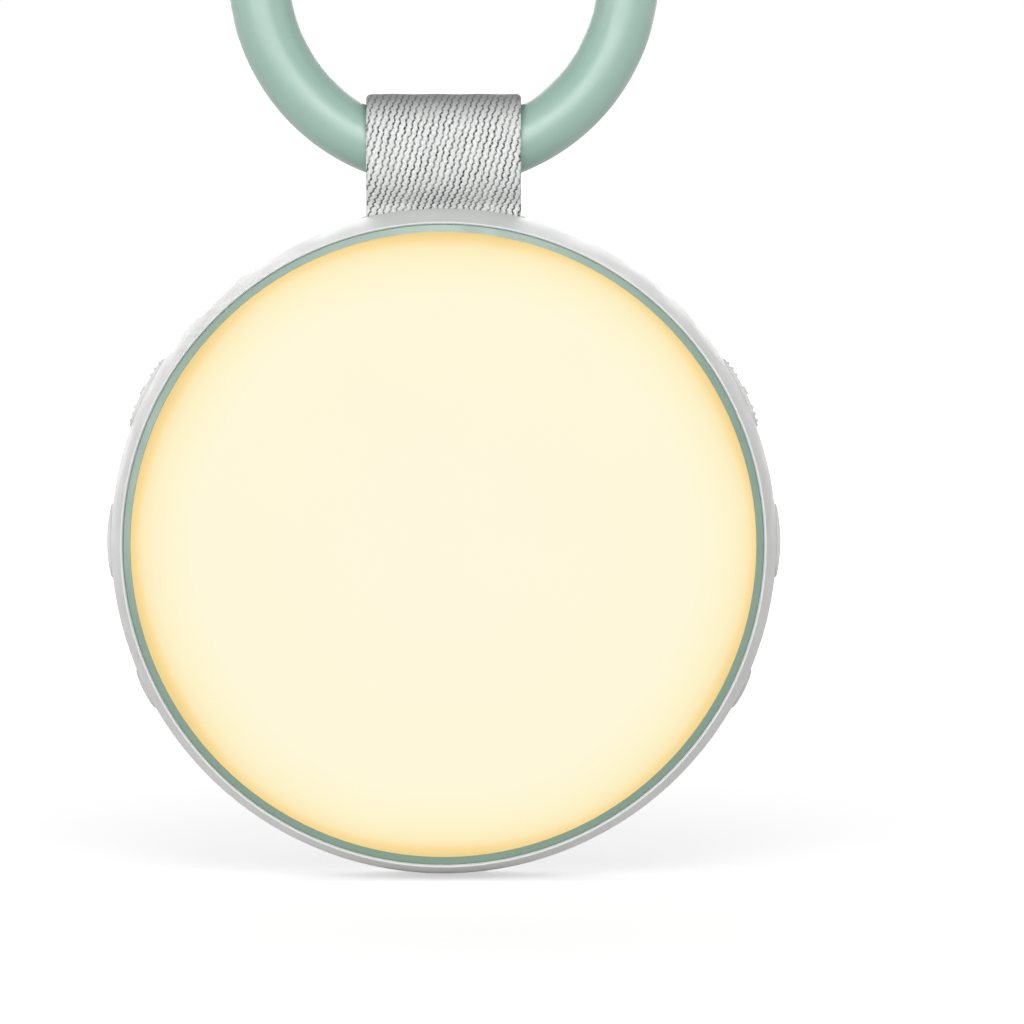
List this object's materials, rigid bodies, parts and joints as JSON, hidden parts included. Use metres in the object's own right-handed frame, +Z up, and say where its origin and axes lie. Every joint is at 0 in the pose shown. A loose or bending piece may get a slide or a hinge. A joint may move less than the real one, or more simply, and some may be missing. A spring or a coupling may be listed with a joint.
{
  "type": "white noise sound machine",
  "caption": "Disc-shaped portable sound machine with a round night lamp on its front and a cloth-covered speaker on its back, hung from a ring by a webbing strap.",
  "frame": {"origin": "the point inside the top of the hanging ring that rests on a hook or bar", "axes": "+Z up, -Y towards the viewer of the lamp, +X to the right seen from the lamp side"},
  "size_m": [0.1086, 0.0266, 0.1801],
  "materials": {
    "ring_plastic": "satin, slightly translucent mint green, one-piece moulding",
    "webbing": "woven light grey webbing with broken darker threads",
    "pin_steel": "plain bright steel pin",
    "casing_plastic": "fine matt off-white moulding",
    "trim_plastic": "satin mint green",
    "lamp_opal": "opal warm white, lit from behind, brighter inside than at its edge",
    "tray_white": "white reflector plastic",
    "circuit_board": "green solder mask",
    "lamp_led": "yellow phosphor in white bodies",
    "chassis_plastic": "plain grey moulding",
    "component_black": "black moulded packages",
    "switch_body": "black switch bodies",
    "socket_steel": "drawn steel shell",
    "cell_foil": "dull aluminium laminate pouch",
    "foam": "black closed-cell foam",
    "light_pipe": "smoke clear plastic",
    "grille_plastic": "dark grey moulding",
    "speaker_cloth": "grey melange cloth in a coarse diagonal weave",
    "basket_metal": "black coated pressing",
    "plated_steel": "zinc-plated steel",
    "ferrite": "ground ferrite",
    "coil_copper": "enamelled copper on its tube",
    "spider_cloth": "resin-dipped corrugated cloth",
    "cone_paper": "black pressed paper",
    "surround_rubber": "soft black rubber",
    "screw_steel": "zinc-plated steel",
    "control_plastic": "matt off-white, ribs and marks raised"
  },
  "bodies": {
    "ring": {"hang_ring": "ring_plastic"},
    "strap": {"strap": "webbing"},
    "casing": {"strap_tail": "webbing", "strap_pin": "pin_steel", "front_shell": "casing_plastic", "trim_ring": "trim_plastic", "diffuser": "lamp_opal", "light_tray": "tray_white", "led_board": "circuit_board", "lamp_leds": "lamp_led", "chassis": "chassis_plastic", "main_board": "circuit_board", "board_parts": "component_black", "side_switches": "switch_body", "usb_socket": "socket_steel", "battery": "cell_foil", "battery_tape": "foam", "rear_shell": "casing_plastic", "charge_light": "light_pipe", "speaker_grille": "grille_plastic", "fabric_cover": "speaker_cloth", "speaker_basket": "basket_metal", "speaker_top_plate": "plated_steel", "speaker_magnet": "ferrite", "speaker_yoke": "plated_steel", "voice_coil": "coil_copper", "speaker_spider": "spider_cloth", "speaker_cone": "cone_paper", "speaker_surround": "surround_rubber", "speaker_dust_cap": "cone_paper", "speaker_gasket": "foam", "shell_screws": "screw_steel", "chassis_screws": "screw_steel", "board_screws": "screw_steel", "speaker_screws": "screw_steel"},
    "volume_rocker": {"volume_rocker": "control_plastic"},
    "timer_button": {"timer_button": "control_plastic"},
    "sound_button": {"sound_button": "control_plastic"},
    "brightness_rocker": {"brightness_rocker": "control_plastic"},
    "lamp_button": {"lamp_button": "control_plastic"},
    "tone_button": {"tone_button": "control_plastic"}
  },
  "joints": [
    {"name": "ring_turn", "type": "hinge", "parent": "ring", "child": "strap", "pos_m": [0, 0, -0.02485], "axis": [0, 1, 0], "continuous": true},
    {"name": "strap_bend", "type": "hinge", "parent": "strap", "child": "casing", "pos_m": [0, 0, -0.06175], "axis": [1, 0, 0], "range_deg": [-25, 25]},
    {"name": "volume_tip", "type": "hinge", "parent": "casing", "child": "volume_rocker", "pos_m": [-0.04716, 0, -0.09304], "axis": [0, 1, 0], "range_deg": [-2.5, 2.5], "stiffness_Nm_per_rad": 0.02},
    {"name": "timer_press", "type": "slide", "parent": "casing", "child": "timer_button", "axis": [1, 0, 0], "range_m": [0, 0.0004], "stiffness_N_per_m": 250},
    {"name": "sound_press", "type": "slide", "parent": "casing", "child": "sound_button", "axis": [0.8949, 0, 0.4462], "range_m": [0, 0.0004], "stiffness_N_per_m": 250},
    {"name": "brightness_tip", "type": "hinge", "parent": "casing", "child": "brightness_rocker", "pos_m": [0.04716, 0, -0.09304], "axis": [0, 1, 0], "range_deg": [-2.5, 2.5], "stiffness_Nm_per_rad": 0.02},
    {"name": "lamp_press", "type": "slide", "parent": "casing", "child": "lamp_button", "axis": [-1, 0, 0], "range_m": [0, 0.0004], "stiffness_N_per_m": 250},
    {"name": "tone_press", "type": "slide", "parent": "casing", "child": "tone_button", "axis": [-0.8949, 0, 0.4462], "range_m": [0, 0.0004], "stiffness_N_per_m": 250}
  ]
}
